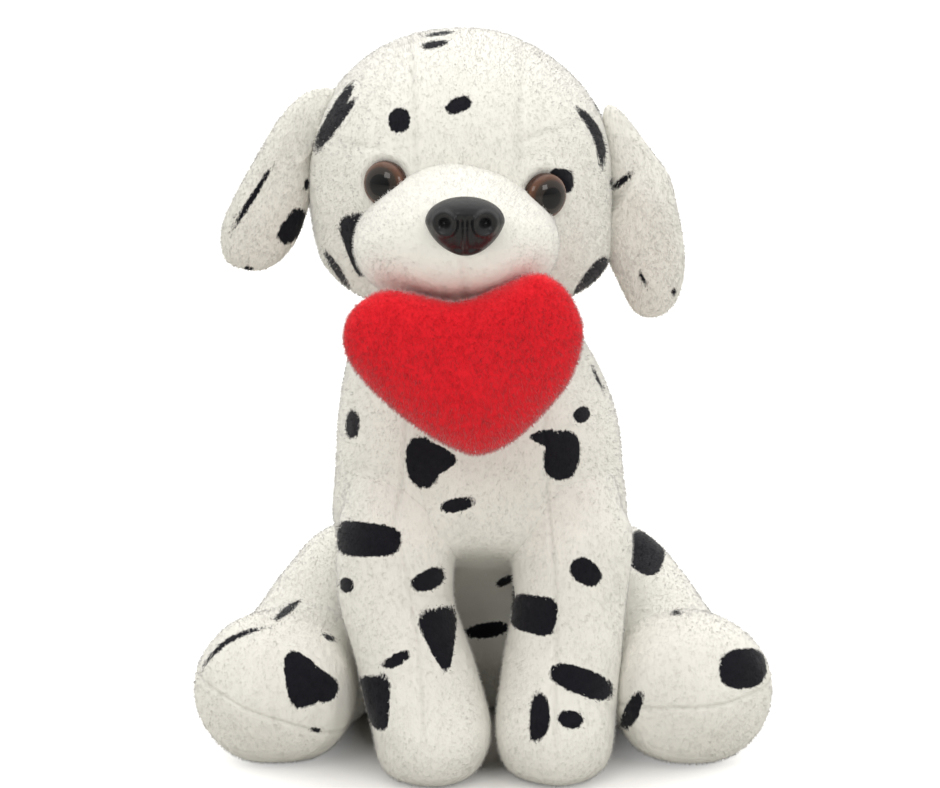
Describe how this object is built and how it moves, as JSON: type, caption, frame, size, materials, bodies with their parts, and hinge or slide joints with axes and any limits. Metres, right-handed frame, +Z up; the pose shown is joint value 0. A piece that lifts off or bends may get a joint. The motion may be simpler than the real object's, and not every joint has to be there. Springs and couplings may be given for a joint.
{
  "type": "plush dog",
  "caption": "Sitting plush dog in short spotted pile with button eyes, a moulded nose and flopped ears, holding a stuffed heart at its mouth.",
  "frame": {"origin": "on the floor, at the middle of the dog's width and depth", "axes": "+Z up and along the longest extent; the dog faces -Y and its own left side is +X"},
  "size_m": [0.1972, 0.1985, 0.252],
  "materials": {
    "plush": "short velvety pile, warm white with near-black spots",
    "heart_plush": "short velvety red pile",
    "fibre_fill": "loose polyester fibre",
    "pellet_cloth": "plain woven liner",
    "eye_plastic": "polished brown dome with a black pupil",
    "nose_plastic": "moulded black, satin gloss",
    "washer_plastic": "moulded natural"
  },
  "bodies": {
    "torso": {"torso_cover": "plush", "torso_stuffing": "fibre_fill", "seat_pellet_bag": "pellet_cloth"},
    "neck": {"neck_stuffing": "fibre_fill"},
    "head": {"head_cover": "plush", "head_stuffing": "fibre_fill", "muzzle_cover": "plush", "muzzle_stuffing": "fibre_fill", "nose": "nose_plastic", "nose_washer": "washer_plastic", "eye_left": "eye_plastic", "eye_right": "eye_plastic", "eye_washer_left": "washer_plastic", "eye_washer_right": "washer_plastic"},
    "ear_left": {"ear_left_cover": "plush", "ear_left_stuffing": "fibre_fill"},
    "ear_right": {"ear_right_cover": "plush", "ear_right_stuffing": "fibre_fill"},
    "heart": {"heart_cover": "heart_plush", "heart_stuffing": "fibre_fill"},
    "front_leg_left": {"front_leg_left_cover": "plush", "front_leg_left_stuffing": "fibre_fill"},
    "front_leg_right": {"front_leg_right_cover": "plush", "front_leg_right_stuffing": "fibre_fill"},
    "hind_leg_left": {"hind_leg_left_cover": "plush", "hind_leg_left_stuffing": "fibre_fill"},
    "hind_leg_right": {"hind_leg_right_cover": "plush", "hind_leg_right_stuffing": "fibre_fill"},
    "tail": {"tail_cover": "plush", "tail_stuffing": "fibre_fill"}
  },
  "joints": [
    {"name": "neck_nod", "type": "hinge", "parent": "torso", "child": "neck", "pos_m": [-0.004, -0.01, 0.16], "axis": [1, 0, 0], "range_deg": [-10, 8], "stiffness_Nm_per_rad": 1.6},
    {"name": "head_turn", "type": "hinge", "parent": "neck", "child": "head", "pos_m": [-0.004, -0.01, 0.16], "axis": [0, 0, 1], "range_deg": [-20, 20], "stiffness_Nm_per_rad": 0.8},
    {"name": "ear_left_flap", "type": "hinge", "parent": "head", "child": "ear_left", "pos_m": [0.04, -0.01, 0.229], "axis": [0, -1, 0], "range_deg": [0, 35], "stiffness_Nm_per_rad": 0.03},
    {"name": "ear_right_flap", "type": "hinge", "parent": "head", "child": "ear_right", "pos_m": [-0.048, -0.01, 0.231], "axis": [0, 1, 0], "range_deg": [0, 35], "stiffness_Nm_per_rad": 0.03},
    {"name": "heart_swing", "type": "hinge", "parent": "head", "child": "heart", "pos_m": [-0.006, -0.076, 0.172], "axis": [-1, 0, 0], "range_deg": [0, 20], "stiffness_Nm_per_rad": 0.05},
    {"name": "front_leg_left_swing", "type": "hinge", "parent": "torso", "child": "front_leg_left", "pos_m": [0.0292, -0.032, 0.078], "axis": [-1, 0, 0], "range_deg": [-5, 25], "stiffness_Nm_per_rad": 0.4},
    {"name": "front_leg_right_swing", "type": "hinge", "parent": "torso", "child": "front_leg_right", "pos_m": [-0.0292, -0.032, 0.078], "axis": [-1, 0, 0], "range_deg": [-5, 25], "stiffness_Nm_per_rad": 0.4},
    {"name": "hind_leg_left_splay", "type": "hinge", "parent": "torso", "child": "hind_leg_left", "pos_m": [0.047, 0.026, 0.03], "axis": [0, 0, 1], "range_deg": [0, 20], "stiffness_Nm_per_rad": 0.4},
    {"name": "hind_leg_right_splay", "type": "hinge", "parent": "torso", "child": "hind_leg_right", "pos_m": [-0.047, 0.026, 0.03], "axis": [0, 0, -1], "range_deg": [0, 20], "stiffness_Nm_per_rad": 0.4},
    {"name": "tail_wag", "type": "hinge", "parent": "torso", "child": "tail", "pos_m": [0, 0.075, 0.026], "axis": [0, 1, 0], "range_deg": [-25, 25], "stiffness_Nm_per_rad": 0.03}
  ]
}
